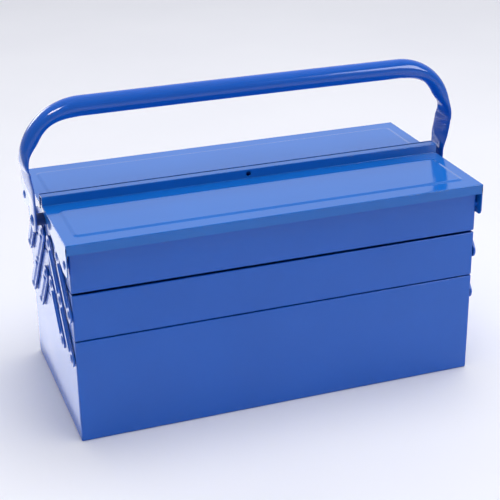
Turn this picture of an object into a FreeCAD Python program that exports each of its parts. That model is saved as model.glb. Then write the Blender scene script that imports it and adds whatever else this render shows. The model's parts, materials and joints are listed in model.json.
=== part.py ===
import FreeCAD, Part
import math
import os

import Sketcher
from FreeCAD import Placement, Rotation, Vector

# A five-tray cantilever tool box of folded sheet steel. The origin is under the middle of the
# base tray, +X runs along the box, -Y is the front and +Z is up. Front and rear halves mirror
# each other, so a piece of a half is drawn once, with local -Y pointing outward, and the rear
# copy is turned by 180 degrees about Z.

DIMENSIONS = [
    ("body_long", 416, "length of every tray"),
    ("body_wide", 200, "width of the base tray"),
    ("sheet", 1.0, "sheet thickness"),
    ("bend_out", 1.8, "outer radius of the folded edges"),
    ("rim_deep", 7, "height of the folded rim"),
    ("rim_thick", 2.2, "thickness of the folded rim"),
    ("rim_round", 0.8, "rounding of the folded rim"),
    ("tray_gap", 3, "gap between the front and rear trays"),
    ("base_high", 107.2, "height of the base tray"),
    ("middle_floor", 108, "underside of the middle trays"),
    ("upper_floor", 157.5, "underside of the upper trays"),
    ("tray_high", 47.5, "height of a middle or upper tray"),
    ("reach_across", 38, "travel inward from one link pivot to the next"),
    ("reach_up", 44, "rise from one link pivot to the next"),
    ("outer_pivot", 91, "distance of the base's outer link pivots from the centre plane"),
    ("inner_pivot", 51, "distance of the base's inner link pivots from the centre plane"),
    ("short_pivot", 93, "distance of the upper short links' lower pivots from the centre plane"),
    ("base_pivot_up", 87, "height of the base's link pivots"),
    ("short_pivot_up", 134, "height of the upper short links' lower pivots"),
    ("strap_wide", 16, "width of a link"),
    ("strap_thick", 1.8, "plate thickness of a link"),
    ("strap_off", 0.8, "gap between a tray's end wall and a link"),
    ("bead_wide", 7, "width of the pressed bead along a link"),
    ("bead_high", 1.4, "height of the pressed bead"),
    ("bead_short", 10, "distance from a pivot to the end of a bead"),
    ("pin_radius", 2.5, "radius of a rivet's shank"),
    ("pin_play", 0.06, "radial play of a rivet in a moving piece"),
    ("face_play", 0.05, "play between a rivet's heads and what it holds"),
    ("pin_head", 4.6, "radius of a rivet's head"),
    ("pin_dome", 1.3, "height of a rivet's head"),
    ("small_head", 3.1, "radius of a lid rivet's inner head, beside the tray's wall"),
    ("lid_top", 209, "height of the lids' flat top"),
    ("lid_out_x", 3.5, "overhang of a lid past the trays' ends"),
    ("lid_out_y", 6, "overhang of a lid past the trays' outer walls"),
    ("lip_deep", 10, "depth of a lid's outer lip"),
    ("lid_bend", 0.8, "outer radius of a lid's folded edges"),
    ("hinge_out", 95, "distance of a lid's hinge axis from the centre plane"),
    ("hinge_up", 186, "height of a lid's hinge axis"),
    ("skirt_low", 176, "lowest edge of a lid's end skirt"),
    ("skirt_flat", 88, "distance from the centre plane where the skirt starts to rise"),
    ("skirt_high", 203, "lower edge of the skirt beside the ridge"),
    ("skirt_rise_end", 15, "distance from the centre plane where the skirt stops rising"),
    ("skirt_round", 5, "rounding of the skirt's lower corner"),
    ("ridge_top", 218.5, "height of the centre ridge"),
    ("ridge_front", 4, "ridge front wall, ahead of the centre plane"),
    ("ridge_back", 4.5, "rear edge of the ridge's top flange, behind the centre plane"),
    ("upstand", 7, "front face of the rear lid's upstand, behind the centre plane"),
    ("panel_rise", 1, "rise of a lid's pressed panel"),
    ("panel_slope", 2.5, "width of the sloped border of the panel"),
    ("panel_end", 200, "half length of the panel"),
    ("panel_inner", 20, "inner edge of the panel from the centre plane"),
    ("panel_outer", 90, "outer edge of the panel from the centre plane"),
    ("lock_hole", 2.6, "radius of the padlock holes"),
    ("lock_up", 214, "height of the padlock holes"),
    ("divider_at", 70, "distance of a divider from the middle of its tray"),
    ("divider_high", 34, "height of a divider"),
    ("divider_foot", 9, "width of a divider's foot"),
    ("divider_play", 0.2, "gap between a divider and the walls beside it"),
    ("handle_back", 7.5, "handle pivot, behind the centre plane"),
    ("handle_up", 192, "height of the handle pivot"),
    ("handle_lean", 2, "lean of the handle towards the front, degrees"),
    ("handle_rise", 111.5, "grip axis above the handle pivot"),
    ("handle_half", 219, "half distance between the handle's legs"),
    ("tube_radius", 10, "radius of the handle's tube"),
    ("tube_wall", 1.5, "wall of the handle's tube"),
    ("bend_radius", 53, "bend radius of the tube's axis"),
    ("grip_drop", 0.3, "how much lower the grip is where its bends start"),
    ("press_angle", 60, "angle before the end of a bend where the tube starts to flatten, degrees"),
    ("flat_from", 52, "height above the pivot where a leg is fully flat"),
    ("flat_at", 222.8, "middle of the leg along X where it is fully flat"),
    ("flat_end", 20, "height above the pivot where the foot turns upright"),
    ("foot_at", 218.5, "middle of the flattened foot along X"),
    ("foot_thick", 3, "thickness of the flattened foot"),
    ("foot_wide", 27, "width of the flattened foot"),
    ("foot_low", 12, "lower end of the foot below the pivot"),
    ("handle_pin", 3, "radius of a handle rivet"),
    ("bush_radius", 6, "outer radius of a handle spacer"),
]

doc = FreeCAD.newDocument("tool_box")
sheet = doc.addObject("Spreadsheet::Sheet", "Size")
for row, (alias, value, note) in enumerate(DIMENSIONS, start=1):
    sheet.set(f"A{row}", note)
    sheet.set(f"B{row}", str(value))
    sheet.setAlias(f"B{row}", alias)
doc.recompute()

ORIGIN_POINT = -1
X_AXIS = -1
START = 1
END = 2
CENTRE = 3
UP = Vector(0, 0, 1)
SIDES = {"front": 1, "rear": -1}
ENDS = {"left": -1, "right": 1}


def size(alias):
    return float(sheet.get(alias))


# ---------- drawing helpers ----------

def new_body(label):
    body = doc.addObject("PartDesign::Body", label)
    body.Label = label
    return body


def new_sketch(body, role, offset="0"):
    """Sketch on one of the body's own origin planes, moved along its normal by an expression."""
    sketch = body.newObject("Sketcher::SketchObject", body.Label + "_sketch")
    for item in body.Origin.OriginFeatures:
        if item.Role == role:
            sketch.AttachmentSupport = [(item, "")]
    sketch.MapMode = "FlatFace"
    sketch.setExpression("AttachmentOffset.Base.z", offset)
    return sketch


def fix_point(sketch, element, point, across, up):
    """Hold a point at a place given by two expressions."""
    for kind, expression in (("DistanceX", across), ("DistanceY", up)):
        rule = Sketcher.Constraint(kind, ORIGIN_POINT, START, element, point, 1.0)
        index = sketch.addConstraint(rule)
        sketch.setExpression(f"Constraints[{index}]", expression)


def draw_outline(sketch, corners):
    """Closed loop of straight edges through corners given as pairs of expressions."""
    count = len(corners)
    first = sketch.GeometryCount
    turn = 2 * math.pi / count
    ring = [Vector(50 * math.cos(i * turn), 50 * math.sin(i * turn), 0) for i in range(count)]
    for i in range(count):
        sketch.addGeometry(Part.LineSegment(ring[i], ring[(i + 1) % count]))
    for i in range(count):
        follower = first + (i + 1) % count
        sketch.addConstraint(Sketcher.Constraint("Coincident", first + i, END, follower, START))
    for i, (across, up) in enumerate(corners):
        fix_point(sketch, first + i, START, across, up)


def draw_rectangle(sketch, left, low, right, high):
    draw_outline(sketch, [(left, low), (right, low), (right, high), (left, high)])


def draw_circle(sketch, across, up, radius):
    index = sketch.addGeometry(Part.Circle(Vector(1, 1, 0), UP, 1))
    fix_point(sketch, index, CENTRE, across, up)
    rule = sketch.addConstraint(Sketcher.Constraint("Radius", index, 1.0))
    sketch.setExpression(f"Constraints[{rule}]", radius)


def draw_slot(sketch, near, far, radius, numbers):
    """Slot along the sketch's X axis; numbers holds rough values of near, far and radius."""
    x0, x1, r = numbers
    half = math.pi / 2
    top = sketch.addGeometry(Part.LineSegment(Vector(x0, r, 0), Vector(x1, r, 0)))
    low = sketch.addGeometry(Part.LineSegment(Vector(x1, -r, 0), Vector(x0, -r, 0)))
    right_circle = Part.Circle(Vector(x1, 0, 0), UP, r)
    right = sketch.addGeometry(Part.ArcOfCircle(right_circle, -half, half))
    left_circle = Part.Circle(Vector(x0, 0, 0), UP, r)
    left = sketch.addGeometry(Part.ArcOfCircle(left_circle, half, 3 * half))
    for line, line_end, arc, arc_end in (
        (top, END, right, END),
        (low, START, right, START),
        (low, END, left, END),
        (top, START, left, START),
    ):
        sketch.addConstraint(Sketcher.Constraint("Tangent", line, line_end, arc, arc_end))
    sketch.addConstraint(Sketcher.Constraint("Equal", left, right))
    rule = sketch.addConstraint(Sketcher.Constraint("Radius", right, r))
    sketch.setExpression(f"Constraints[{rule}]", radius)
    fix_point(sketch, left, CENTRE, near, "0")
    rule = sketch.addConstraint(
        Sketcher.Constraint("DistanceX", ORIGIN_POINT, START, right, CENTRE, x1))
    sketch.setExpression(f"Constraints[{rule}]", far)
    sketch.addConstraint(Sketcher.Constraint("PointOnObject", right, CENTRE, X_AXIS))


def extrude(body, kind, sketch, length, both_ways=False, backwards=False, taper=None):
    """Pad or Pocket of a sketch."""
    feature = body.newObject("PartDesign::" + kind, f"{body.Label}_{kind.lower()}")
    feature.Profile = sketch
    feature.SideType = "Symmetric" if both_ways else "One side"
    feature.Reversed = backwards
    feature.setExpression("Length", length)
    if taper is not None:
        feature.setExpression("TaperAngle", taper)
    doc.recompute()
    return feature


def round_edges(body, radius, wanted):
    """Fillet the edges of the body's tip that the wanted function picks."""
    tip = body.Tip
    names = [f"Edge{i}" for i, edge in enumerate(tip.Shape.Edges, start=1) if wanted(edge)]
    feature = body.newObject("PartDesign::Fillet", body.Label + "_fillet")
    feature.Base = (tip, names)
    feature.setExpression("Radius", radius)
    doc.recompute()


def bore_walls(body, holes):
    """Drill both end walls of a piece along X: (outward distance, height, radius) expressions."""
    drill = new_sketch(body, "YZ_Plane")
    for outward, up, radius in holes:
        draw_circle(drill, outward, up, radius)
    extrude(body, "Pocket", drill, "2 * Size.body_long", both_ways=True)


# ---------- trays ----------

def make_tray(label, long, wide, high, holes):
    """Open tray with rounded folds, even walls and a doubled rim, on its own bottom centre."""
    body = new_body(label)
    plan = new_sketch(body, "XY_Plane")
    draw_rectangle(plan, f"-({long}) / 2", f"-({wide}) / 2", f"({long}) / 2", f"({wide}) / 2")
    extrude(body, "Pad", plan, high)
    space = new_sketch(body, "XY_Plane", high)
    inner_x = f"({long}) / 2 - Size.sheet"
    inner_y = f"({wide}) / 2 - Size.sheet"
    draw_rectangle(space, f"-({inner_x})", f"-({inner_y})", inner_x, inner_y)
    extrude(body, "Pocket", space, f"{high} - Size.sheet")

    box = body.Tip.Shape.BoundBox
    top = box.ZMax
    half_long = box.XMax - size("sheet") / 2
    half_wide = box.YMax - size("sheet") / 2

    def is_inside(edge):
        limits = edge.BoundBox
        along = -half_long < limits.XMin and limits.XMax < half_long
        return along and -half_wide < limits.YMin and limits.YMax < half_wide

    def is_below_rim(edge):
        return edge.BoundBox.ZMin < top - 1

    round_edges(body, "Size.bend_out - Size.sheet",
                lambda edge: is_below_rim(edge) and is_inside(edge))
    round_edges(body, "Size.bend_out",
                lambda edge: is_below_rim(edge) and not is_inside(edge))

    rim = new_sketch(body, "XY_Plane", high)
    for inset in ("Size.sheet", "Size.rim_thick"):
        across = f"({long}) / 2 - {inset}"
        along = f"({wide}) / 2 - {inset}"
        draw_rectangle(rim, f"-({across})", f"-({along})", across, along)
    extrude(body, "Pad", rim, "Size.rim_deep", backwards=True)
    round_edges(body, "Size.rim_round", lambda edge: edge.BoundBox.ZMin > top - 0.01)
    bore_walls(body, holes)
    return body


HALF_WIDE = "(Size.body_wide - Size.tray_gap) / 2"
HALF_MIDDLE = "(Size.body_wide + Size.tray_gap) / 4"
WALL_HOLE = "Size.pin_radius + Size.pin_play"


def half_place(side, height):
    """Placement of a front or rear tray that stands with its underside at a height."""
    middle = (size("body_wide") + size("tray_gap")) / 4
    turn = Rotation(UP, 0 if side == 1 else 180)
    return Placement(Vector(0, -side * middle, height), turn)


def make_base_tray():
    holes = []
    for sign in ("", "-"):
        for pivot in ("outer_pivot", "inner_pivot"):
            holes.append((f"{sign}Size.{pivot}", "Size.base_pivot_up", WALL_HOLE))
    make_tray("base_tray", "Size.body_long", "Size.body_wide", "Size.base_high", holes)


def make_middle_tray(name, side):
    lift = "Size.base_pivot_up + Size.reach_up - Size.middle_floor"
    holes = []
    for pivot in ("outer_pivot", "inner_pivot"):
        holes.append((f"{HALF_MIDDLE} - (Size.{pivot} - Size.reach_across)", lift, WALL_HOLE))
    short_lift = "Size.short_pivot_up - Size.middle_floor"
    holes.append((f"{HALF_MIDDLE} - Size.short_pivot", short_lift, WALL_HOLE))
    tray = make_tray(f"{name}_middle_tray", "Size.body_long", HALF_WIDE, "Size.tray_high", holes)
    tray.Placement = half_place(side, size("middle_floor"))


def make_upper_tray(name, side):
    holes = [
        (f"{HALF_MIDDLE} - (Size.outer_pivot - 2 * Size.reach_across)",
         "Size.base_pivot_up + 2 * Size.reach_up - Size.upper_floor", WALL_HOLE),
        (f"{HALF_MIDDLE} - (Size.short_pivot - Size.reach_across)",
         "Size.short_pivot_up + Size.reach_up - Size.upper_floor", WALL_HOLE),
        (f"{HALF_MIDDLE} - Size.hinge_out", "Size.hinge_up - Size.upper_floor", WALL_HOLE),
    ]
    if name == "rear":
        holes.append((f"{HALF_MIDDLE} - Size.handle_back", "Size.handle_up - Size.upper_floor",
                      "Size.handle_pin + Size.pin_play"))
    tray = make_tray(f"{name}_upper_tray", "Size.body_long", HALF_WIDE, "Size.tray_high", holes)
    tray.Placement = half_place(side, size("upper_floor"))


def make_dividers(name, side):
    """Two folded cross walls, each standing on a foot, as separate solids of one node."""
    body = new_body("divider_pattern_" + name)
    section = new_sketch(body, "XZ_Plane")
    draw_outline(section, [
        ("0", "0"),
        ("Size.divider_foot", "0"),
        ("Size.divider_foot", "Size.sheet"),
        ("Size.sheet", "Size.sheet"),
        ("Size.sheet", "Size.divider_high"),
        ("0", "Size.divider_high"),
    ])
    inner_gap = "Size.rim_thick + Size.divider_play"
    extrude(body, "Pad", section, f"{HALF_WIDE} - 2 * ({inner_gap})", both_ways=True)
    round_edges(body, "0.45 * Size.sheet", lambda edge: edge.BoundBox.ZMin > size("divider_high") - 0.1)
    pair = []
    for at in (-size("divider_at"), size("divider_at")):
        place = half_place(side, size("upper_floor") + size("sheet"))
        place = place.multiply(Placement(Vector(at, 0, 0), Rotation()))
        pair.append(body.Shape.transformed(place.toMatrix(), True))
    group(f"{name}_upper_dividers", pair)


def group(label, solids):
    """Separate solids that share one node."""
    feature = doc.addObject("Part::Feature", label)
    feature.Label = label
    feature.Shape = Part.makeCompound(solids)
    return feature


# ---------- links ----------

def make_strap(label, steps):
    """Link with round ends: its first pivot is its origin and the others follow along X."""
    body = new_body(label)
    pitch = math.hypot(size("reach_across"), size("reach_up"))
    pitch_text = "sqrt(Size.reach_across ^ 2 + Size.reach_up ^ 2)"
    plate = new_sketch(body, "XY_Plane")
    numbers = (0, steps * pitch, size("strap_wide") / 2)
    draw_slot(plate, "0", f"{steps} * {pitch_text}", "Size.strap_wide / 2", numbers)
    extrude(body, "Pad", plate, "Size.strap_thick")
    for step in range(steps):
        bead = new_sketch(body, "XY_Plane", "Size.strap_thick")
        near = step * pitch + size("bead_short")
        far = (step + 1) * pitch - size("bead_short")
        draw_slot(bead, f"{step} * {pitch_text} + Size.bead_short",
                  f"{step + 1} * {pitch_text} - Size.bead_short",
                  "Size.bead_wide / 2", (near, far, size("bead_wide") / 2))
        extrude(body, "Pad", bead, "Size.bead_high", taper="-35")
    holes = new_sketch(body, "XY_Plane")
    for step in range(steps + 1):
        draw_circle(holes, f"{step} * {pitch_text}", "0", "Size.pin_radius + Size.pin_play")
    extrude(body, "Pocket", holes, "4 * Size.strap_thick", both_ways=True)
    return body


def make_links():
    """Every link: kind, number of steps, distance and height of its first pivot."""
    kinds = [
        ("long_link", 2, size("outer_pivot"), size("base_pivot_up")),
        ("lower_link", 1, size("inner_pivot"), size("base_pivot_up")),
        ("upper_link", 1, size("short_pivot"), size("short_pivot_up")),
    ]
    wall = size("body_long") / 2 + size("strap_off")
    for name, side in SIDES.items():
        for kind, steps, outward, up in kinds:
            for end_name, end in ENDS.items():
                strap = make_strap(f"{name}_{kind}_{end_name}", steps)
                along = Vector(0, side * size("reach_across"), size("reach_up"))
                turn = Rotation(along, Vector(), Vector(end, 0, 0), "XZY")
                strap.Placement = Placement(Vector(end * wall, -side * outward, up), turn)


# ---------- rivets and spacers ----------

def make_rivet(label, shank, head, wall_in, steps):
    """Rivet along Z from the inner face of a wall: steps are (height, radius) expressions."""
    body = new_body(label)
    section = new_sketch(body, "XZ_Plane")
    corners = [("0", f"-({wall_in})"), (head, f"-({wall_in})"), (head, "0"), (shank, "0")]
    corners += [(radius, height) for height, radius in steps]
    corners.append(("0", steps[-1][0]))
    draw_outline(section, corners)
    turned = body.newObject("PartDesign::Revolution", label + "_turned")
    turned.Profile = section
    turned.ReferenceAxis = (section, ["V_Axis"])
    turned.Angle = 360
    doc.recompute()
    return body


def place_rivets(label, pattern, spots):
    """Copies of a pattern rivet through both end walls at each (y, z) spot."""
    wall = size("body_long") / 2 - size("sheet") - size("face_play")
    solids = []
    for across, up in spots:
        for end in ENDS.values():
            turn = Rotation(UP, Vector(end, 0, 0))
            place = Placement(Vector(end * wall, across, up), turn)
            solids.append(pattern.Shape.transformed(place.toMatrix(), True))
    group(label, solids)


def make_rivets():
    through = "Size.sheet + 2 * Size.face_play"
    near = f"{through} + Size.strap_off - 2 * Size.face_play"
    far = f"{near} + Size.strap_thick + 2 * Size.face_play"
    link_rivet = make_rivet("link_rivet_pattern", "Size.pin_radius", "Size.pin_head", "Size.sheet", [
        (through, "Size.pin_radius"),
        (through, "0.8 * Size.pin_head"),
        (near, "0.8 * Size.pin_head"),
        (near, "Size.pin_radius"),
        (far, "Size.pin_radius"),
        (far, "Size.pin_head"),
        (f"{far} + 0.5 * Size.pin_dome", "0.85 * Size.pin_head"),
        (f"{far} + Size.pin_dome", "0.4 * Size.pin_head"),
    ])
    skirt_in = "Size.lid_out_x + Size.face_play"
    skirt_out = f"{skirt_in} + Size.sheet + Size.face_play"
    lid_rivet = make_rivet("lid_rivet_pattern", "Size.pin_radius", "Size.small_head", "Size.sheet", [
        (through, "Size.pin_radius"),
        (through, "0.8 * Size.pin_head"),
        (f"{skirt_in} - Size.face_play", "0.8 * Size.pin_head"),
        (f"{skirt_in} - Size.face_play", "Size.pin_radius"),
        (skirt_out, "Size.pin_radius"),
        (skirt_out, "Size.pin_head"),
        (f"{skirt_out} + 0.5 * Size.pin_dome", "0.85 * Size.pin_head"),
        (f"{skirt_out} + Size.pin_dome", "0.4 * Size.pin_head"),
    ])
    foot_out = ("Size.foot_at + Size.foot_thick / 2 + Size.face_play"
                " - (Size.body_long / 2 - Size.sheet - Size.face_play)")
    handle_rivet = make_rivet("handle_rivet_pattern", "Size.handle_pin", "Size.pin_head", "Size.sheet", [
        (foot_out, "Size.handle_pin"),
        (foot_out, "Size.bush_radius"),
        (f"{foot_out} + 0.6 * Size.pin_dome", "0.85 * Size.bush_radius"),
        (f"{foot_out} + 1.5 * Size.pin_dome", "0.4 * Size.bush_radius"),
    ])

    low = size("base_pivot_up")
    step_in = size("reach_across")
    step_up = size("reach_up")
    outer = size("outer_pivot")
    inner = size("inner_pivot")
    short = size("short_pivot")
    short_up = size("short_pivot_up")
    base_spots = []
    for name, side in SIDES.items():
        base_spots += [(-side * outer, low), (-side * inner, low)]
        place_rivets(f"{name}_middle_rivets", link_rivet, [
            (-side * (outer - step_in), low + step_up),
            (-side * (inner - step_in), low + step_up),
            (-side * short, short_up),
        ])
        place_rivets(f"{name}_upper_rivets", link_rivet, [
            (-side * (outer - 2 * step_in), low + 2 * step_up),
            (-side * (short - step_in), short_up + step_up),
        ])
        hinge = (-side * size("hinge_out"), size("hinge_up"))
        place_rivets(f"{name}_lid_rivets", lid_rivet, [hinge])
    place_rivets("base_rivets", link_rivet, base_spots)
    place_rivets("handle_rivets", handle_rivet, [(size("handle_back"), size("handle_up"))])


def make_spacers():
    """Bushes that hold the handle's feet clear of the lids' ends and of the links."""
    wall = size("body_long") / 2 + size("face_play")
    long = size("foot_at") - size("foot_thick") / 2 - size("face_play") - wall
    bushes = []
    for end in ENDS.values():
        start = Vector(end * wall, size("handle_back"), size("handle_up"))
        axis = Vector(end, 0, 0)
        outside = Part.makeCylinder(size("bush_radius"), long, start, axis)
        bore = Part.makeCylinder(size("handle_pin") + size("pin_play"), long, start, axis)
        bushes.append(outside.cut(bore))
    group("handle_spacers", bushes)


# ---------- lids ----------

def outward(distance):
    """Local Y of a lid point, from its distance outward from the centre plane."""
    return f"Size.hinge_out - ({distance})"


def above(height):
    """Local Z of a lid point, from its height above the ground."""
    return f"{height} - Size.hinge_up"


def make_lid(name, side, ridge):
    """Lid on its hinge axis: folded section, end skirts, pressed panel, padlock hole.

    ridge lists the section's corners at the ridge, as (outward distance, height) expressions.
    """
    body = new_body(f"{name}_lid")
    lid_half = "Size.body_long / 2 + Size.lid_out_x"
    edge = "Size.body_wide / 2 + Size.lid_out_y"
    under = "Size.lid_top - Size.sheet"
    lip_low = "Size.lid_top - Size.lip_deep"
    section = new_sketch(body, "YZ_Plane")
    corners = [(edge, lip_low), (edge, "Size.lid_top")]
    corners += ridge
    corners += [(f"{edge} - Size.sheet", under), (f"{edge} - Size.sheet", lip_low)]
    draw_outline(section, [(outward(out), above(up)) for out, up in corners])
    extrude(body, "Pad", section, f"2 * ({lid_half})", both_ways=True)

    inner_end = ridge[-1][0]
    skirt_corners = [
        (edge, "Size.lid_top - Size.sheet / 2"),
        (edge, "Size.skirt_low"),
        ("Size.skirt_flat", "Size.skirt_low"),
        ("Size.skirt_rise_end", "Size.skirt_high"),
        (inner_end, "Size.skirt_high"),
        (inner_end, "Size.lid_top - Size.sheet / 2"),
    ]
    for sign, backwards in (("", True), ("-", False)):
        skirt = new_sketch(body, "YZ_Plane", f"{sign}({lid_half})")
        draw_outline(skirt, [(outward(out), above(up)) for out, up in skirt_corners])
        extrude(body, "Pad", skirt, "Size.sheet", backwards=backwards)

    slope = "atan(Size.panel_slope / Size.panel_rise)"
    for kind, base in (("Pad", "Size.lid_top"), ("Pocket", under)):
        panel = new_sketch(body, "XY_Plane", above(base))
        draw_rectangle(panel, "-Size.panel_end", outward("Size.panel_outer"),
                       "Size.panel_end", outward("Size.panel_inner"))
        extrude(body, kind, panel, "Size.panel_rise", backwards=kind == "Pocket",
                taper=f"-({slope})")

    lock = new_sketch(body, "XZ_Plane", f"-({outward(ridge[0][0])})")
    draw_circle(lock, "0", above("Size.lock_up"), "Size.lock_hole")
    extrude(body, "Pocket", lock, "4 * Size.sheet", both_ways=True)
    bore_walls(body, [("0", "0", "Size.pin_radius + Size.pin_play")])

    low = size("skirt_low") - size("hinge_up")
    round_edges(body, "Size.skirt_round", lambda item: (
        item.BoundBox.XLength > 0.5 * size("sheet")
        and item.BoundBox.ZMax < low + 0.01
        and item.BoundBox.YLength < 0.01))
    lid_top = size("lid_top") - size("hinge_up")
    lip_y = size("hinge_out") - size("body_wide") / 2 - size("lid_out_y")
    end_x = size("body_long") / 2 + size("lid_out_x")

    def is_outer_fold(item):
        limits = item.BoundBox
        at_top = limits.ZMin > lid_top - 0.01 and limits.ZMax < lid_top + 0.01
        at_end = min(abs(limits.XMin), abs(limits.XMax)) > end_x - 0.01
        at_lip = limits.YMax < lip_y + 0.01
        return at_top and (at_lip or (at_end and limits.XLength < 0.01))

    round_edges(body, "Size.lid_bend", is_outer_fold)
    turn = Rotation(UP, 0 if side == 1 else 180)
    body.Placement = Placement(Vector(0, -side * size("hinge_out"), size("hinge_up")), turn)


def make_lids():
    front_ridge = [
        ("Size.ridge_front", "Size.lid_top"),
        ("Size.ridge_front", "Size.ridge_top"),
        ("-Size.ridge_back", "Size.ridge_top"),
        ("-Size.ridge_back", "Size.ridge_top - Size.sheet"),
        ("Size.ridge_front - Size.sheet", "Size.ridge_top - Size.sheet"),
        ("Size.ridge_front - Size.sheet", "Size.lid_top - Size.sheet"),
    ]
    rear_ridge = [
        ("Size.upstand + Size.sheet", "Size.lid_top"),
        ("Size.upstand + Size.sheet", "Size.ridge_top"),
        ("Size.upstand", "Size.ridge_top"),
        ("Size.upstand", "Size.lid_top - Size.sheet"),
    ]
    make_lid("front", SIDES["front"], front_ridge)
    make_lid("rear", SIDES["rear"], rear_ridge)


# ---------- handle ----------

def ring(middle, tilt, radius_in, radius_y):
    """Ellipse round the tube's axis: radius_in lies in the XZ plane, tilt is its turn about Y."""
    if radius_y - radius_in < 0.001:
        curve = Part.Circle(Vector(), UP, radius_y)
    else:
        curve = Part.Ellipse(Vector(0, radius_y, 0), Vector(radius_in, 0, 0), Vector())
    wire = Part.Wire(curve.toShape())
    wire.Placement = Placement(middle, Rotation(Vector(0, 1, 0), tilt))
    return wire


def make_tube(radius, end_angle):
    """Crowned grip and the upper part of both bends, as one swept solid."""
    half = size("handle_half")
    bend = size("bend_radius")
    reach = half - bend
    crown = (reach ** 2 + size("grip_drop") ** 2) / (2 * size("grip_drop"))
    crown_middle = size("handle_rise") - crown
    lift = crown_middle + math.sqrt((crown - bend) ** 2 - reach ** 2)
    meet = math.atan2(lift - crown_middle, reach)

    def on_bend(angle, sign):
        return Vector(sign * (reach + bend * math.cos(angle)), 0, lift + bend * math.sin(angle))

    middle_angle = (end_angle + meet) / 2
    path = Part.Wire([
        Part.Arc(on_bend(end_angle, 1), on_bend(middle_angle, 1), on_bend(meet, 1)).toShape(),
        Part.Arc(on_bend(meet, 1), Vector(0, 0, size("handle_rise")), on_bend(meet, -1)).toShape(),
        Part.Arc(on_bend(meet, -1), on_bend(middle_angle, -1), on_bend(end_angle, -1)).toShape(),
    ])
    start = ring(on_bend(end_angle, 1), -math.degrees(end_angle), radius, radius)
    return path.makePipeShell([start], True, False), lift


def make_leg(end, shrink, end_angle, lift):
    """Leg pressed from round to flat, lofted from the bend down; shrink gives its hollow."""
    bend = size("bend_radius")
    reach = size("handle_half") - bend
    outer = size("tube_radius")
    wide = size("foot_wide") / 2
    rings = []
    for share, radius_in, radius_y, shift in (
        (1.0, outer, outer, 0),
        (0.75, 0.84 * outer, outer, 0.14 * outer),
        (0.48, 0.82 * outer, outer, 0.18 * outer),
        (0.2, 0.54 * outer, 1.03 * outer, 0.38 * outer),
        (0.0, 0.29 * outer, 0.98 * wide, 0.46 * outer),
    ):
        angle = share * end_angle
        radius = bend + shift
        middle = Vector(end * (reach + radius * math.cos(angle)), 0, lift + radius * math.sin(angle))
        rings.append(ring(middle, -end * math.degrees(angle), radius_in - shrink, radius_y - shrink))
    flat = size("foot_thick") / 2 + 0.15
    low = Vector(end * size("flat_at"), 0, size("flat_from"))
    rings.append(ring(low, 0, flat - 0.8 * shrink, wide - shrink))
    return Part.makeLoft(rings, True, False)


def make_foot(end):
    """Flat strap below a pressed leg, round at its lower end."""
    thick = size("foot_thick") / 2
    wide = size("foot_wide") / 2
    foot = size("foot_at")
    top = size("flat_from") + 3
    flat_at = size("flat_at")
    corners = [
        Vector(end * (flat_at - thick), 0, top),
        Vector(end * (flat_at + thick), 0, top),
        Vector(end * (foot + thick), 0, size("flat_end")),
        Vector(end * (foot + thick), 0, -size("foot_low")),
        Vector(end * (foot - thick), 0, -size("foot_low")),
        Vector(end * (foot - thick), 0, size("flat_end")),
    ]
    side_view = Part.Face(Part.makePolygon(corners + corners[:1]))
    side_view.translate(Vector(0, -wide, 0))
    strap = side_view.extrude(Vector(0, 2 * wide, 0))
    low_edges = []
    for edge in strap.Edges:
        box = edge.BoundBox
        if box.ZMax < 0.01 - size("foot_low") and box.YLength < 0.01:
            low_edges.append(edge)
    return strap.makeFillet(wide - 0.3, low_edges)


def make_handle():
    """Bent tube whose legs are pressed flat into two feet, on the pivot axis as origin."""
    end_angle = math.radians(size("press_angle"))
    tube, lift = make_tube(size("tube_radius"), end_angle)
    hollow, lift = make_tube(size("tube_radius") - size("tube_wall"), end_angle)
    solids = [tube]
    hollows = [hollow]
    for end in ENDS.values():
        solids += [make_leg(end, 0, end_angle, lift), make_foot(end)]
        hollows.append(make_leg(end, size("tube_wall"), end_angle, lift))
    shape = solids[0].fuse(solids[1:])
    shape = shape.cut(hollows[0].fuse(hollows[1:]))
    reach = size("foot_at") + 10
    pin_hole = Part.makeCylinder(size("handle_pin") + size("pin_play"), 2 * reach,
                                 Vector(-reach, 0, 0), Vector(1, 0, 0))
    handle = doc.addObject("Part::Feature", "handle")
    handle.Label = "handle"
    handle.Shape = shape.cut(pin_hole)
    handle.Placement = Placement(Vector(0, size("handle_back"), size("handle_up")),
                                 Rotation(Vector(1, 0, 0), size("handle_lean")))


# ---------- assembly ----------

make_base_tray()
for side_name, side_sign in SIDES.items():
    make_middle_tray(side_name, side_sign)
    make_upper_tray(side_name, side_sign)
    make_dividers(side_name, side_sign)
make_links()
make_rivets()
make_spacers()
make_lids()
make_handle()
doc.recompute()

for item in doc.Objects:
    if "Invalid" in item.State or "Error" in item.State:
        raise RuntimeError(f"{item.Label}: {item.State}")

pieces = []
for item in doc.Objects:
    is_piece = item.TypeId in ("PartDesign::Body", "Part::Feature")
    if is_piece and "_pattern" not in item.Label:
        pieces.append(item)

os.makedirs("parts", exist_ok=True)
for piece in pieces:
    if piece.Shape.isNull() or not piece.Shape.isValid():
        raise RuntimeError(f"{piece.Label} has no valid shape")
for piece in pieces:
    piece.Shape.exportStep(f"parts/{piece.Label}.step")
    box = piece.Shape.BoundBox
    print(f"{piece.Label}: {len(piece.Shape.Solids)} solid(s), {piece.Shape.Volume:.0f} mm3, "
          f"x {box.XMin:.1f} to {box.XMax:.1f}, y {box.YMin:.1f} to {box.YMax:.1f}, "
          f"z {box.ZMin:.1f} to {box.ZMax:.1f}")
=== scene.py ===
import json
import math

import bmesh
import bpy
from mathutils import Matrix, Vector


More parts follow.
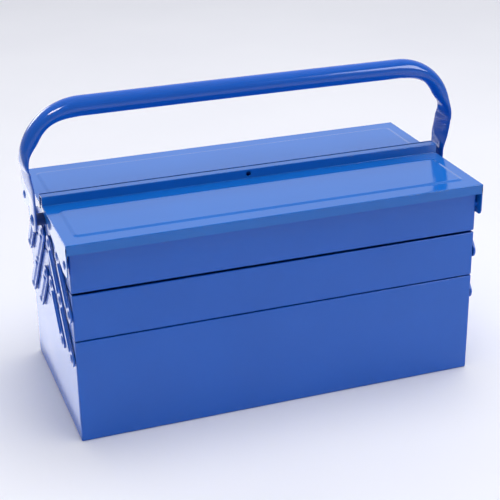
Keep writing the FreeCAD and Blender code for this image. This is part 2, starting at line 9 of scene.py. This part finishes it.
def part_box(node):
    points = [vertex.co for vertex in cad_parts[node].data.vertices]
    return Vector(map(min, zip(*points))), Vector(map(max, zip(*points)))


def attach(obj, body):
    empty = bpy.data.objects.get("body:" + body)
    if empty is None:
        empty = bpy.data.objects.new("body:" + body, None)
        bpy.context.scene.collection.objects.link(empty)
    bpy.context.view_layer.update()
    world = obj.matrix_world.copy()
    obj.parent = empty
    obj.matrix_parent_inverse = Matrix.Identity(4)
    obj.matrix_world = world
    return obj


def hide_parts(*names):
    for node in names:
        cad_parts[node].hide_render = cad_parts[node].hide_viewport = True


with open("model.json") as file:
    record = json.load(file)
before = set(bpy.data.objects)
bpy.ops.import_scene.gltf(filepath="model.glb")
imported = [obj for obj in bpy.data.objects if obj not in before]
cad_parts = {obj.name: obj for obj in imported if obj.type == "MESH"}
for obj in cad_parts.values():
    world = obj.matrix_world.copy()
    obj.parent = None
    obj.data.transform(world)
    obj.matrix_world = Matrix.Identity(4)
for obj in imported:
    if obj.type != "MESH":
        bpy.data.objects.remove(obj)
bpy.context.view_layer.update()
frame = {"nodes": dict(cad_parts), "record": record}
nodes = frame["nodes"]
MM = 0.001
SIDES = {"front": 1, "rear": -1}


# ---------- driving sizes, in millimetres unless the name says otherwise ----------

SHEET = 1.0                    # sheet thickness
PIN_RADIUS = 2.5               # a link rivet's shank
PIN_PLAY = 0.06
FOLD = 2.2                     # outer radius of a lid's folds
FOLD_ROOM = 3.2                # distance from a fold to the next line of vertices
PANEL_ROOM = 0.5               # distance from the pressed panel to the next line of vertices
EDGE = 0.22                    # rounding of a cut sheet edge

HANDLE_BACK = 7.5              # handle pivot, behind the centre plane
HANDLE_UP = 192                # height of the handle pivot
HANDLE_LEAN = math.radians(2)  # lean towards the front
HANDLE_RISE = 111.5            # grip axis above the pivot
HANDLE_HALF = 219              # half distance between the legs
TUBE = 10                      # radius of the handle's tube
BEND = 53                      # bend radius of the tube's axis
GRIP_DROP = 0.3                # how much lower the grip is where its bends start
OVAL_FROM = math.radians(85)   # where on a bend the tube starts to turn oval
OVAL_FULL = math.radians(42)   # where on a bend it is fully oval
PRESS_FROM = math.radians(29)  # where on a bend the press starts to flatten it
OVAL = 0.25                    # share of the tube's thickness that the bend takes away
FLAT_FROM = 52                 # height above the pivot where a leg is fully flat
FLAT_END = 20                  # height above the pivot where the foot turns upright
FLAT_OUT = 222.8               # middle of the leg where it is fully flat
FOOT_OUT = 218.5               # middle of the foot
FOOT_THICK = 3
FOOT_WIDE = 27
FOOT_LOW = 12                  # lower end of the foot below the pivot
TOE = math.radians(8)          # turn of the pressed flats about the upright
TOE_FROM = FLAT_FROM + 24      # height above the pivot where that turn starts
TOE_GROW = 14                  # height over which it grows
TOE_FADE = 16                  # height over which it fades above the foot
PULL_LATE = 2.5                # the larger, the later a leg's outer line moves in
CLOSE_LATE = 1.2               # the larger, the later the press closes the tube
WIDEN_FROM = 0.5               # share of the press where the tube starts to widen
SQUARE = 0.68                  # how square the flat section is, 1 at most
SQUARE_EARLY = 1.1             # the larger, the earlier the section turns square
RING_POINTS = 48               # vertices around the handle's tube
PUCKERS = ((40, -7.5, 0.8, 2.6), (45, -6, -0.6, 2.2))    # height, place across, depth, radius
HANDLE_PIN = 3

LID_TOP = 209
LIP_DEEP = 10
HINGE_OUT = 95                 # lid hinge axis from the centre plane
HINGE_UP = 186
SKIRT_LOW = 176
SKIRT_FLAT = 88                # distance from the centre plane where the skirt starts to rise
SKIRT_HIGH = 203
SKIRT_RISE_END = 15
SKIRT_ROUND = 5
RIDGE_TOP = 218.5
RIDGE_FRONT = 4
RIDGE_BACK = 4.5
UPSTAND = 8                    # outer face of the rear lid's upstand
PANEL_RISE = 1.0
PANEL_SLOPE = 4.0
PANEL_END = 200                # half length of the pressed panel
PANEL_INNER = 20
PANEL_OUTER = 90
PANEL_ROUND = 6
LOCK_RADIUS = 2.6
LOCK_UP = 214


# ---------- mesh helpers ----------

def new_piece(name, shell, body, material):
    """Finished object from a bmesh drawn in millimetres; it rides on a body and has a slot."""
    for face in shell.faces:
        face.smooth = True
    bmesh.ops.scale(shell, vec=(MM, MM, MM), verts=shell.verts)
    mesh = bpy.data.meshes.new(name)
    shell.to_mesh(mesh)
    shell.free()
    mesh.materials.append(material)
    piece = bpy.data.objects.new(name, mesh)
    bpy.context.scene.collection.objects.link(piece)
    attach(piece, body)
    return piece


def apply_modifiers(piece):
    """Turn a piece's modifiers into its own mesh."""
    graph = bpy.context.evaluated_depsgraph_get()
    finished = bpy.data.meshes.new_from_object(piece.evaluated_get(graph))
    piece.modifiers.clear()
    piece.data = finished


def add_bevel(piece, width, segments, angle):
    """Round the edges that turn by more than an angle in degrees."""
    bevel = piece.modifiers.new("bevel", "BEVEL")
    bevel.width = width * MM
    bevel.segments = segments
    bevel.limit_method = "ANGLE"
    bevel.angle_limit = math.radians(angle)
    bevel.use_clamp_overlap = True
    bevel.miter_outer = "MITER_ARC"


def add_weighted_normals(piece):
    """Let the large faces set the shading, so that flat sheet looks flat."""
    weigh = piece.modifiers.new("normals", "WEIGHTED_NORMAL")
    weigh.keep_sharp = True
    weigh.weight = 90


def drill(piece, place, axis, radius, length):
    """Cut a round hole through a piece, all in millimetres."""
    cutter_mesh = bpy.data.meshes.new("cutter")
    cutter = bpy.data.objects.new("cutter", cutter_mesh)
    bpy.context.scene.collection.objects.link(cutter)
    shell = bmesh.new()
    bmesh.ops.create_cone(shell, cap_ends=True, segments=40, radius1=radius * MM,
                          radius2=radius * MM, depth=length * MM)
    turn = Vector(axis).to_track_quat("Z", "Y").to_matrix().to_4x4()
    bmesh.ops.transform(shell, matrix=Matrix.Translation(Vector(place) * MM) @ turn,
                        verts=shell.verts)
    shell.to_mesh(cutter_mesh)
    shell.free()
    cut = piece.modifiers.new("hole", "BOOLEAN")
    cut.operation = "DIFFERENCE"
    cut.solver = "MANIFOLD"    # the EXACT solver can leave the cutter standing in the padlock hole
    cut.object = cutter
    apply_modifiers(piece)
    bpy.data.objects.remove(cutter)
    bpy.data.meshes.remove(cutter_mesh)


def ease(value):
    """Smooth step from 0 to 1."""
    value = min(1, max(0, value))
    return value * value * (3 - 2 * value)


def face_outward(shell):
    """Turn all faces of an open skin the same way, with its highest flat face looking up."""
    bmesh.ops.recalc_face_normals(shell, faces=shell.faces)
    top = max(shell.faces, key=lambda face: face.calc_center_median().z * abs(face.normal.z))
    if top.normal.z < 0:
        bmesh.ops.reverse_faces(shell, faces=shell.faces)


def spread(low, high, count):
    """Even steps from low up to, and not including, high."""
    return [low + (high - low) * i / count for i in range(count)]


def skin_rings(shell, rings, closed=True):
    """Quads between rings of vertices of equal length."""
    count = len(rings[0])
    last = count if closed else count - 1
    for ring_a, ring_b in zip(rings, rings[1:]):
        for i in range(last):
            j = (i + 1) % count
            shell.faces.new((ring_a[i], ring_a[j], ring_b[j], ring_b[i]))


# ---------- materials ----------

def new_material(name, color, roughness):
    """Principled material whose even values sit on the shader's own sockets."""
    material = bpy.data.materials.new(name)
    material.use_nodes = True
    shader = material.node_tree.nodes["Principled BSDF"]
    shader.inputs["Base Color"].default_value = (*color, 1)
    shader.inputs["Roughness"].default_value = roughness
    return material, material.node_tree, shader


def add_noise(tree, scale, detail=2.0, rough=0.5):
    """Noise over the object's own coordinates; returns the factor socket."""
    place = tree.nodes.new("ShaderNodeTexCoord")
    noise = tree.nodes.new("ShaderNodeTexNoise")
    noise.inputs["Scale"].default_value = scale
    noise.inputs["Detail"].default_value = detail
    noise.inputs["Roughness"].default_value = rough
    tree.links.new(place.outputs["Object"], noise.inputs["Vector"])
    return noise.outputs["Fac"]


def add_ramp(tree, factor, low, high, low_at=0.3, high_at=0.7):
    """Colour ramp between two colours."""
    ramp = tree.nodes.new("ShaderNodeValToRGB")
    ramp.color_ramp.elements[0].position = low_at
    ramp.color_ramp.elements[0].color = (*low, 1)
    ramp.color_ramp.elements[1].position = high_at
    ramp.color_ramp.elements[1].color = (*high, 1)
    tree.links.new(factor, ramp.inputs["Fac"])
    return ramp.outputs["Color"]


def add_range(tree, factor, low, high):
    """Maps a 0 to 1 factor onto a range."""
    node = tree.nodes.new("ShaderNodeMapRange")
    node.inputs["To Min"].default_value = low
    node.inputs["To Max"].default_value = high
    tree.links.new(factor, node.inputs["Value"])
    return node.outputs["Result"]


def add_bump(tree, shader, layers):
    """Chained bump nodes: each layer is (height socket, distance in metres, strength)."""
    normal = None
    for height, distance, strength in layers:
        bump = tree.nodes.new("ShaderNodeBump")
        bump.inputs["Distance"].default_value = distance
        bump.inputs["Strength"].default_value = strength
        tree.links.new(height, bump.inputs["Height"])
        if normal is not None:
            tree.links.new(normal, bump.inputs["Normal"])
        normal = bump.outputs["Normal"]
    tree.links.new(normal, shader.inputs["Normal"])


# linear colours: each paint drifts between its base and its deep tone
PAINT_BASE = (0.006, 0.122, 0.600)
PAINT_DEEP = (0.005, 0.112, 0.560)
LID_BASE = (0.006, 0.150, 0.585)
LID_DEEP = (0.005, 0.138, 0.550)
HANDLE_BASE = (0.004, 0.108, 0.560)
HANDLE_DEEP = (0.003, 0.100, 0.525)
# the spacer paint is much darker than the other paint: painted shade, so that the spacers read as the
# shaded gap between the handle's feet and the lids
SPACER_SHADE_BASE = (0.006, 0.06, 0.26)
SPACER_SHADE_DEEP = (0.004, 0.045, 0.20)
WAVE_DEEP = 0.0006             # metres
PEEL_DEEP = 0.00004            # metres
SPECK = (0.10, 0.22, 0.56)
SPECK_SHARE = 0.06             # how much of its colour the strongest speck shows


def make_paint(name, base, deep, roughness, waviness):
    """Glossy sprayed enamel on sheet steel: orange peel, slow tone drift, fine dust specks."""
    material, tree, shader = new_material(name, base, roughness)
    drift = add_noise(tree, scale=9, detail=3)
    color = add_ramp(tree, drift, deep, base)
    specks = add_noise(tree, scale=1100, detail=1)
    peaks = add_ramp(tree, specks, (0, 0, 0), (1, 1, 1), low_at=0.74, high_at=0.8)
    speck_mask = add_range(tree, peaks, 0, SPECK_SHARE)
    mix = tree.nodes.new("ShaderNodeMix")
    mix.data_type = "RGBA"
    mix.inputs["B"].default_value = (*SPECK, 1)
    tree.links.new(speck_mask, mix.inputs["Factor"])
    tree.links.new(color, mix.inputs["A"])
    tree.links.new(mix.outputs["Result"], shader.inputs["Base Color"])
    haze = add_noise(tree, scale=30, detail=4, rough=0.6)
    tree.links.new(add_range(tree, haze, roughness * 0.75, roughness * 1.35),
                   shader.inputs["Roughness"])
    peel = add_noise(tree, scale=520, detail=1)
    wave = add_noise(tree, scale=14, detail=1)
    add_bump(tree, shader, [(wave, WAVE_DEEP, waviness), (peel, PEEL_DEEP, 0.30)])
    return material


paint = {
    "tray_paint": make_paint("tray_paint", PAINT_BASE, PAINT_DEEP, roughness=0.20, waviness=0.10),
    "lid_paint": make_paint("lid_paint", LID_BASE, LID_DEEP, roughness=0.10, waviness=0.06),
    "link_paint": make_paint("link_paint", PAINT_BASE, PAINT_DEEP, roughness=0.22, waviness=0.0),
    "divider_paint": make_paint("divider_paint", PAINT_BASE, PAINT_DEEP, roughness=0.26, waviness=0.08),
    "handle_paint": make_paint("handle_paint", HANDLE_BASE, HANDLE_DEEP, roughness=0.12, waviness=0.03),
    "rivet_steel": make_paint("rivet_paint", PAINT_BASE, PAINT_DEEP, roughness=0.2, waviness=0.0),
    # dark paint on the spacers: painted shade for the gap between the handle's feet and the lids
    "zinc_steel": make_paint("spacer_shade_paint", SPACER_SHADE_BASE, SPACER_SHADE_DEEP, roughness=0.3, waviness=0.0),
}
slot_of = {item["node"]: item["material_slot"] for item in frame["record"]["subparts"]}
for name, node in nodes.items():
    node.data.materials.clear()
    node.data.materials.append(paint[slot_of[name]])


# ---------- handle ----------

def leg_stations():
    """Stations of one leg from the middle of the grip down: (x, z, tangent angle, half
    thickness, half width, squareness), in the handle's own plane with the pivot at the origin.

    Squareness is 1 for a round or oval section and falls towards 0 for one with flat sides.
    """
    reach = HANDLE_HALF - BEND
    crown = (reach ** 2 + GRIP_DROP ** 2) / (2 * GRIP_DROP)
    crown_low = HANDLE_RISE - crown
    lift = crown_low + math.sqrt((crown - BEND) ** 2 - reach ** 2)
    meet = math.atan2(lift - crown_low, reach)
    pressed_long = BEND * PRESS_FROM + lift - FLAT_FROM
    stations = []
    for along in spread(0, 1, 40):
        x = reach * along
        z = crown_low + math.sqrt(crown ** 2 - x ** 2)
        stations.append((x, z, -math.asin(x / crown), TUBE, TUBE, 1))
    for angle in spread(meet, PRESS_FROM, 40):
        stations.append(bend_station(reach, lift, angle, 0))
    for angle in spread(PRESS_FROM, 0, 24):
        stations.append(bend_station(reach, lift, angle, BEND * (PRESS_FROM - angle) / pressed_long))
    outer = HANDLE_HALF + TUBE
    for z in spread(lift, FLAT_FROM, 3):
        share = 1 - (z - FLAT_FROM) / pressed_long
        thick, wide, square = pressed_section(TUBE * (1 - OVAL), share)
        stations.append((outer - pull_in(share) - thick, z, -math.pi / 2, thick, wide, square))
    pressed = pressed_section(TUBE * (1 - OVAL), 1)
    for z in spread(FLAT_FROM, FLAT_END, 16):
        turn = (FLAT_FROM - z) / (FLAT_FROM - FLAT_END)
        x = FLAT_OUT + (FOOT_OUT - FLAT_OUT) * (0.5 * turn + 0.5 * ease(turn))
        stations.append((x, z, -math.pi / 2, *pressed))
    half = FOOT_WIDE / 2
    low = half - FOOT_LOW
    for z in spread(FLAT_END, low, 6):
        stations.append((FOOT_OUT, z, -math.pi / 2, *pressed))
    thick, _, square = pressed
    for angle in spread(0, math.pi / 2, 14):
        wide = max(half * math.cos(angle), thick)
        stations.append((FOOT_OUT, low - half * math.sin(angle), -math.pi / 2, thick, wide, square))
    return stations


def bend_station(reach, lift, angle, share):
    """Station on a bend, whose outer line stays true while the inner one is squeezed."""
    oval = OVAL * ease((OVAL_FROM - angle) / (OVAL_FROM - OVAL_FULL))
    thick, wide, square = pressed_section(TUBE * (1 - oval), share)
    radius = BEND + TUBE - thick
    x = reach + radius * math.cos(angle) - pull_in(share)
    return x, lift + radius * math.sin(angle), angle - math.pi / 2, thick, wide, square


def pull_in(share):
    """How far the press moved the outer line of a leg inward."""
    return (HANDLE_HALF + TUBE - FLAT_OUT - FOOT_THICK / 2) * share ** PULL_LATE


def pressed_section(full, share):
    """Half thickness, half width and squareness of a tube that the press closed by a share."""
    closed = ease(share) ** CLOSE_LATE
    thick = full + (FOOT_THICK / 2 - full) * closed
    wide = TUBE + (FOOT_WIDE / 2 - TUBE) * ease((share - WIDEN_FROM) / (1 - WIDEN_FROM))
    return thick, wide, 1 - SQUARE * ease(share * SQUARE_EARLY)


def section_ring(shell, station, side):
    """One ring of the handle: x is mirrored by side, and y is the width."""
    x, z, tangent, thick, wide, square = station
    across = Vector((-math.sin(tangent), 0, math.cos(tangent)))
    ring = []
    for i in range(RING_POINTS):
        angle = 2 * math.pi * i / RING_POINTS
        sine = math.sin(angle)
        flatness = math.copysign(abs(sine) ** square, sine)
        out = thick * math.cos(angle)
        width = thick * sine + (wide - thick) * flatness
        dent = press_mark(z, width, out)
        turn = side * TOE * ease((TOE_FROM - z) / TOE_GROW) * ease((z - FLAT_END) / TOE_FADE)
        point = Vector((x - width * math.sin(turn), width * math.cos(turn), z))
        point += across * (out - dent)
        point.x *= side
        ring.append(shell.verts.new(point))
    return ring


def press_mark(z, width, out):
    """Depth of the puckers that the press leaves near the front edge of a leg's inner face."""
    if out > 0:
        return 0
    depth = 0
    for mark_z, mark_across, mark_deep, radius in PUCKERS:
        far = math.hypot(z - mark_z, width - mark_across) / radius
        depth += mark_deep * math.exp(-far * far)
    return depth


def make_handle():
    """Bent tube whose legs are pressed flat, drawn as one skin with its pin holes."""
    shell = bmesh.new()
    half = leg_stations()
    rings = [section_ring(shell, station, -1) for station in reversed(half[1:])]
    rings += [section_ring(shell, station, 1) for station in half]
    skin_rings(shell, rings)
    shell.faces.new(rings[0])
    shell.faces.new(rings[-1])
    bmesh.ops.recalc_face_normals(shell, faces=shell.faces)
    lean = Matrix.Rotation(HANDLE_LEAN, 4, "X")
    place = Matrix.Translation((0, HANDLE_BACK, HANDLE_UP)) @ lean
    bmesh.ops.transform(shell, matrix=place, verts=shell.verts)
    piece = new_piece("bent_handle", shell, "handle", paint["handle_paint"])
    pivot = (0, HANDLE_BACK, HANDLE_UP)
    drill(piece, pivot, (1, 0, 0), HANDLE_PIN + PIN_PLAY, 3 * HANDLE_HALF)
    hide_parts("handle")


make_handle()


# ---------- lids ----------

def panel_height(x, outward):
    """Rise of a lid's top inside its pressed panel, with round corners and an eased slope."""
    middle = (PANEL_INNER + PANEL_OUTER) / 2
    far_x = abs(x) - (PANEL_END - PANEL_ROUND)
    far_y = abs(outward - middle) - ((PANEL_OUTER - PANEL_INNER) / 2 - PANEL_ROUND)
    corner = math.hypot(max(far_x, 0), max(far_y, 0))
    inside = PANEL_ROUND - corner - min(max(far_x, far_y), 0)
    return PANEL_RISE * ease(inside / PANEL_SLOPE)


def skirt_edge(outward, edge):
    """Height of the lower edge of a lid's end skirt at a distance from the centre plane.

    It is level near the lip, rises towards the middle and has a round corner at the lip.
    """
    rise = (SKIRT_FLAT - outward) / (SKIRT_FLAT - SKIRT_RISE_END)
    low = SKIRT_LOW + (SKIRT_HIGH - SKIRT_LOW) * min(1, max(0, rise))
    corner = max(0, SKIRT_ROUND - (edge - outward))
    return low + SKIRT_ROUND - math.sqrt(SKIRT_ROUND ** 2 - corner ** 2)


def lid_columns(half_long):
    """X stations of a lid: close together where the panel slopes."""
    slope_from = PANEL_END - PANEL_ROUND - 1
    slope_end = PANEL_END + PANEL_ROOM
    inner = spread(0, slope_from, 14) + spread(slope_from, slope_end, 12)
    inner += [slope_end, half_long - FOLD_ROOM, half_long]
    return [-x for x in reversed(inner[1:])] + inner


def lid_rows(inner_end, edge):
    """Distances from the centre plane: close together where the panel slopes."""
    deep = PANEL_ROUND + 1
    slope_end = PANEL_OUTER + PANEL_ROOM
    rows = [inner_end, inner_end + FOLD_ROOM]
    rows += spread(PANEL_INNER - PANEL_ROOM, PANEL_INNER + deep, 12)
    rows += spread(PANEL_INNER + deep, PANEL_OUTER - deep, 10)
    rows += spread(PANEL_OUTER - deep, slope_end, 12)
    rows += [slope_end, edge - SKIRT_ROUND - 0.2, edge - FOLD_ROOM, edge - 1.5, edge]
    return rows


def make_lid(name, side, inner_end, ridge):
    """Folded lid: pressed top, front lip, end skirts and a ridge or upstand at the middle.

    ridge lists (outward distance, height) corners that follow the top's inner edge.
    """
    low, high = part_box(f"{name}_lid")
    half_long = high.x / MM
    edge = max(-low.y, high.y) / MM
    columns = lid_columns(half_long)
    rows = lid_rows(inner_end, edge)
    shell = bmesh.new()
    lines = []
    for outward, height in reversed(ridge):
        lines.append([shell.verts.new((x, outward, height)) for x in columns])
    for outward in rows:
        line = []
        for x in columns:
            line.append(shell.verts.new((x, outward, LID_TOP + panel_height(x, outward))))
        lines.append(line)
    for height in (LID_TOP - FOLD_ROOM, LID_TOP - LIP_DEEP + 2, LID_TOP - LIP_DEEP):
        lines.append([shell.verts.new((x, edge, height)) for x in columns])
    skin_rings(shell, lines, closed=False)

    first_top = len(ridge)
    for column in (0, -1):
        upper = [lines[first_top + i][column] for i in range(len(rows))]
        strips = [upper]
        for share in (0.12, 0.5, 1):
            strip = []
            for outward, vertex in zip(rows, upper):
                z = LID_TOP + (skirt_edge(outward, edge) - LID_TOP) * share
                strip.append(shell.verts.new((vertex.co.x, outward, z)))
            strips.append(strip)
        skin_rings(shell, strips, closed=False)
    bmesh.ops.remove_doubles(shell, verts=shell.verts, dist=0.01)
    for vertex in shell.verts:
        vertex.co.y *= -side
    face_outward(shell)
    piece = new_piece(f"{name}_lid_shell", shell, f"{name}_lid", paint["lid_paint"])
    add_bevel(piece, FOLD, segments=5, angle=50)
    thick = piece.modifiers.new("thick", "SOLIDIFY")
    thick.thickness = SHEET * MM
    thick.offset = -1
    thick.use_even_offset = True
    thick.use_quality_normals = True
    apply_modifiers(piece)
    hinge = (0, -side * HINGE_OUT, HINGE_UP)
    drill(piece, hinge, (1, 0, 0), PIN_RADIUS + PIN_PLAY, 3 * half_long)
    lock = (0, -side * inner_end, LOCK_UP)
    drill(piece, lock, (0, 1, 0), LOCK_RADIUS, 3 * SHEET)
    add_bevel(piece, EDGE, segments=2, angle=40)
    add_weighted_normals(piece)
    apply_modifiers(piece)
    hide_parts(f"{name}_lid")


make_lid("front", SIDES["front"], RIDGE_FRONT, [
    (RIDGE_FRONT, LID_TOP + FOLD_ROOM),
    (RIDGE_FRONT, RIDGE_TOP - FOLD_ROOM),
    (RIDGE_FRONT, RIDGE_TOP),
    (RIDGE_FRONT - FOLD_ROOM, RIDGE_TOP),
    (-RIDGE_BACK, RIDGE_TOP),
])
make_lid("rear", SIDES["rear"], UPSTAND, [
    (UPSTAND, LID_TOP + FOLD_ROOM),
    (UPSTAND, RIDGE_TOP),
])


# ---------- stage, light and camera ----------

FLOOR_LIGHT = (0.90, 0.905, 0.95)
FLOOR_DARK = (0.87, 0.875, 0.925)
FLOOR_HALF = 40                          # metres
WORLD_COLOR = (0.93, 0.94, 1.0)
WORLD_TILT = (0.06, 0.62, 0.10)          # how fast the room brightens along x, y and z
WORLD_LEVEL = 0.35
WORLD_LEAST = 0.3


def add_floor():
    """Wide pale floor, which also fills the background."""
    mesh = bpy.data.meshes.new("floor")
    floor = bpy.data.objects.new("floor", mesh)
    bpy.context.scene.collection.objects.link(floor)
    shell = bmesh.new()
    bmesh.ops.create_grid(shell, x_segments=8, y_segments=8, size=FLOOR_HALF)
    shell.to_mesh(mesh)
    shell.free()
    material, tree, shader = new_material("floor_paper", FLOOR_LIGHT, roughness=0.6)
    mottle = add_noise(tree, scale=3)
    tree.links.new(add_ramp(tree, mottle, FLOOR_DARK, FLOOR_LIGHT), shader.inputs["Base Color"])
    mesh.materials.append(material)


def add_area_light(name, place, target, width, height, power, shines):
    """Softbox that either lights the paint or, where it shines, is only reflected in it."""
    light = bpy.data.lights.new(name, "AREA")
    light.shape = "RECTANGLE"
    light.size = width
    light.size_y = height
    light.energy = power
    lamp = bpy.data.objects.new(name, light)
    lamp.location = place
    lamp.rotation_euler = (Vector(target) - Vector(place)).to_track_quat("-Z", "Y").to_euler()
    lamp.visible_camera = False
    lamp.visible_glossy = shines
    lamp.visible_diffuse = not shines
    bpy.context.scene.collection.objects.link(lamp)


def add_world():
    """Soft room: brightest behind the box, dim behind the camera."""
    world = bpy.data.worlds.new("studio")
    world.use_nodes = True
    tree = world.node_tree
    back = tree.nodes["Background"]
    back.inputs["Color"].default_value = (*WORLD_COLOR, 1)
    place = tree.nodes.new("ShaderNodeTexCoord")
    weigh = tree.nodes.new("ShaderNodeVectorMath")
    weigh.operation = "DOT_PRODUCT"
    weigh.inputs[1].default_value = WORLD_TILT
    level = tree.nodes.new("ShaderNodeMath")
    level.operation = "ADD"
    level.inputs[1].default_value = WORLD_LEVEL
    least = tree.nodes.new("ShaderNodeMath")
    least.operation = "MAXIMUM"
    least.inputs[1].default_value = WORLD_LEAST
    tree.links.new(place.outputs["Generated"], weigh.inputs[0])
    tree.links.new(weigh.outputs["Value"], level.inputs[0])
    tree.links.new(level.outputs["Value"], least.inputs[0])
    tree.links.new(least.outputs["Value"], back.inputs["Strength"])
    bpy.context.scene.world = world


def add_camera():
    """Camera at the viewing angle of the reference picture, aimed at a point over the base."""
    azimuth = math.radians(-19.6)
    elevation = math.radians(23.9)
    roll = math.radians(-0.7)
    distance = 1.348
    target = Vector((0.002, 0, 0.1275))
    back = Vector((math.sin(azimuth) * math.cos(elevation),
                   -math.cos(azimuth) * math.cos(elevation),
                   math.sin(elevation)))
    right = Vector((math.cos(azimuth), math.sin(azimuth), 0))
    up = back.cross(right)
    turned_right = math.cos(roll) * right + math.sin(roll) * up
    turned_up = back.cross(turned_right)
    axes = Matrix((turned_right, turned_up, back)).transposed()
    data = bpy.data.cameras.new("camera")
    data.sensor_width = 36
    data.lens = 93.2
    data.clip_start = 0.01
    camera = bpy.data.objects.new("camera", data)
    camera.matrix_world = Matrix.Translation(target + distance * back) @ axes.to_4x4()
    bpy.context.scene.collection.objects.link(camera)
    bpy.context.scene.camera = camera


add_floor()
add_world()
add_area_light("overhead", place=(0.3, -0.15, 2.6), target=(0, 0, 0.1),
               width=2.4, height=2.0, power=52, shines=False)
add_area_light("fill", place=(1.8, -2.2, 1.3), target=(0.1, 0, 0.1),
               width=1.2, height=1.2, power=5, shines=False)
add_area_light("left_card", place=(-0.413, 0.40, 0.003), target=(-0.413, 0.40, 1),
               width=0.40, height=1.04, power=1.3, shines=True)
add_area_light("back_card", place=(-1.1, 2.2, 0.95), target=(-0.2, 0, 0.2),
               width=1.0, height=0.7, power=16, shines=True)
add_area_light("strip_left", place=(-0.9, -1.0, 1.9), target=(0, 0, 0.25),
               width=0.8, height=0.2, power=22, shines=True)
add_area_light("strip_right", place=(1.4, -1.35, 1.3), target=(0.15, 0, 0.3),
               width=1.0, height=0.9, power=24, shines=True)
add_camera()
bpy.context.scene.view_settings.view_transform = "Standard"
